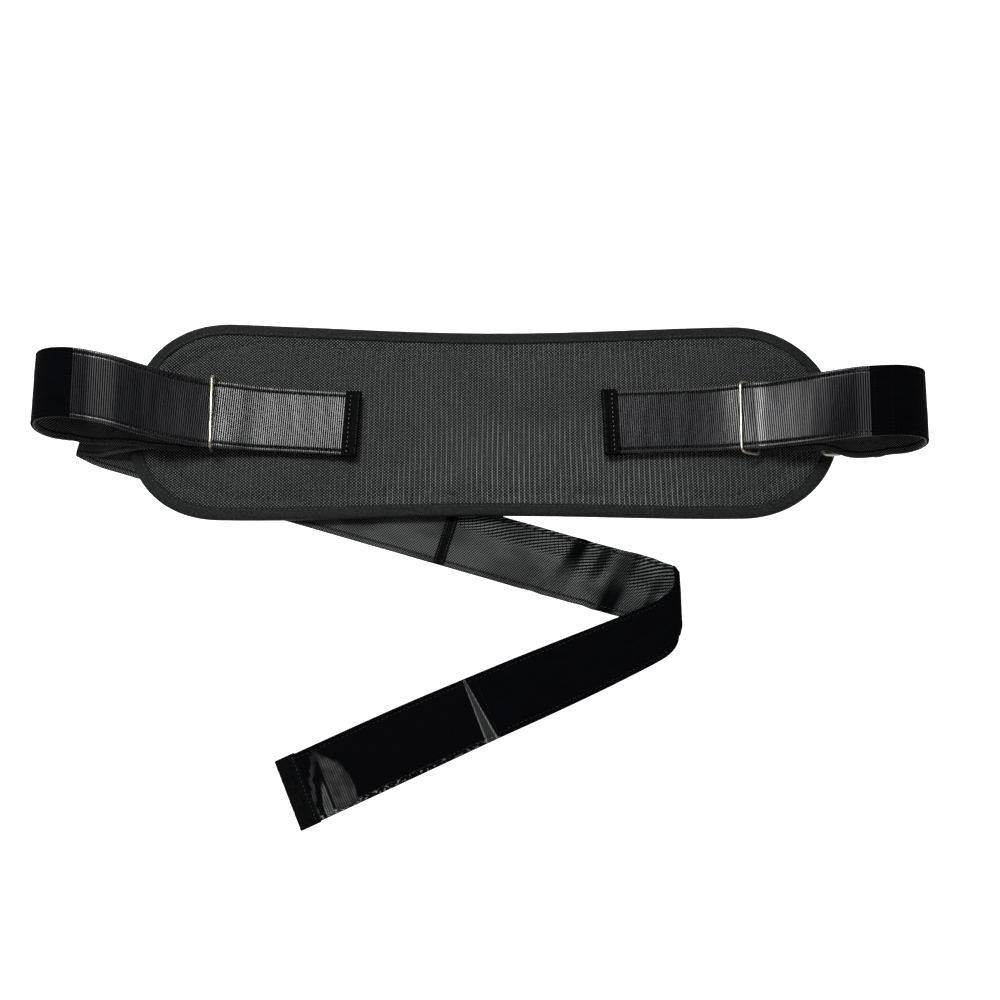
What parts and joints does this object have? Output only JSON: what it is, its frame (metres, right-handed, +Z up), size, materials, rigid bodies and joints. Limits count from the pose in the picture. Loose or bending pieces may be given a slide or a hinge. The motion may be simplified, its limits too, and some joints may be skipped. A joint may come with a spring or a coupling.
{
  "type": "gait belt",
  "caption": "Padded gait belt laid flat on its back: waisted pad with bound rim, adjustable hand loops at both ends, and a folded closure strap with ring.",
  "frame": {"origin": "centre of the laid-out belt's footprint, on the table under it", "axes": "+X along the belt towards its right end, +Y across the belt away from the closure strap, +Z up out of the belt's front face"},
  "size_m": [0.6782, 0.388, 0.0602],
  "materials": {
    "mesh_cloth": "woven mesh, matt",
    "foam": "closed-cell foam, matt",
    "lining_cloth": "plain weave, matt",
    "binding_tape": "woven tape, matt",
    "webbing": "twill webbing, slight sheen",
    "ribbed_tape": "glossy ribbed tape",
    "velvet_tape": "soft loop pile, matt",
    "hook_tape": "hook tape, glossy hooks",
    "nickel": "warm nickel-plated wire"
  },
  "bodies": {
    "panel_left": {"left_cover": "mesh_cloth", "left_foam": "foam", "left_lining": "lining_cloth", "left_binding": "binding_tape", "left_ring_keeper": "webbing", "left_ring_webbing": "webbing", "left_ring_tape": "ribbed_tape", "closure_anchor": "webbing"},
    "panel_right": {"right_cover": "mesh_cloth", "right_foam": "foam", "right_lining": "lining_cloth", "right_binding": "binding_tape", "right_ring_keeper": "webbing", "right_ring_webbing": "webbing", "right_ring_tape": "ribbed_tape", "closure_ring_tab": "webbing"},
    "left_loop": {"left_loop_webbing": "webbing", "left_loop_velvet": "velvet_tape", "left_loop_tape": "ribbed_tape"},
    "left_tip": {"left_tip_tape": "ribbed_tape", "left_tip_hook": "hook_tape", "left_tip_binding": "binding_tape"},
    "left_ring": {"left_ring": "nickel"},
    "right_loop": {"right_loop_webbing": "webbing", "right_loop_velvet": "velvet_tape", "right_loop_tape": "ribbed_tape"},
    "right_tip": {"right_tip_tape": "ribbed_tape", "right_tip_hook": "hook_tape", "right_tip_binding": "binding_tape"},
    "right_ring": {"right_ring": "nickel"},
    "closure_ring": {"closure_ring": "nickel"},
    "closure_inner": {"closure_inner_webbing": "webbing", "closure_inner_velvet": "velvet_tape", "closure_seam_patch": "binding_tape"},
    "closure_outer": {"closure_outer_webbing": "webbing", "closure_outer_velvet": "velvet_tape", "closure_hook_tape": "hook_tape", "closure_end_binding": "binding_tape"}
  },
  "joints": [
    {"name": "panel_bend", "type": "hinge", "parent": "panel_left", "child": "panel_right", "pos_m": [0.02573, 0.11292, 0.0046], "axis": [0, 1, 0], "range_deg": [0, 90]},
    {"name": "left_handle_lift", "type": "hinge", "parent": "panel_left", "child": "left_loop", "pos_m": [-0.20228, 0.10992, 0.0214], "axis": [0.0384, 0.9993, 0], "range_deg": [0, 48]},
    {"name": "left_tip_peel", "type": "hinge", "parent": "panel_left", "child": "left_tip", "pos_m": [-0.18429, 0.10923, 0.019], "axis": [0.0384, 0.9993, 0], "range_deg": [-65, 0]},
    {"name": "left_ring_swing", "type": "hinge", "parent": "panel_left", "child": "left_ring", "pos_m": [-0.20228, 0.10992, 0.0173], "axis": [0.0384, 0.9993, 0], "range_deg": [-35, 55]},
    {"name": "right_handle_lift", "type": "hinge", "parent": "panel_right", "child": "right_loop", "pos_m": [0.21272, 0.10992, 0.0214], "axis": [0.0209, -0.9998, 0], "range_deg": [0, 55]},
    {"name": "right_tip_peel", "type": "hinge", "parent": "panel_right", "child": "right_tip", "pos_m": [0.19473, 0.10955, 0.019], "axis": [0.0209, -0.9998, 0], "range_deg": [-65, 0]},
    {"name": "right_ring_swing", "type": "hinge", "parent": "panel_right", "child": "right_ring", "pos_m": [0.21272, 0.10992, 0.0173], "axis": [0.0209, -0.9998, 0], "range_deg": [-90, 4]},
    {"name": "closure_ring_swing", "type": "hinge", "parent": "panel_right", "child": "closure_ring", "pos_m": [0.26122, 0.11092, 0.0173], "axis": [0, -1, 0], "range_deg": [-14, 8]},
    {"name": "closure_swing", "type": "hinge", "parent": "panel_left", "child": "closure_inner", "pos_m": [-0.30728, 0.10792, 0.00305], "axis": [0.1431, 0.9897, 0], "range_deg": [0, 179.5]},
    {"name": "closure_fold", "type": "hinge", "parent": "closure_inner", "child": "closure_outer", "pos_m": [0.14972, -0.02707, 0.00305], "axis": [-0.0675, 0.9977, 0], "range_deg": [0, 179.5]}
  ]
}
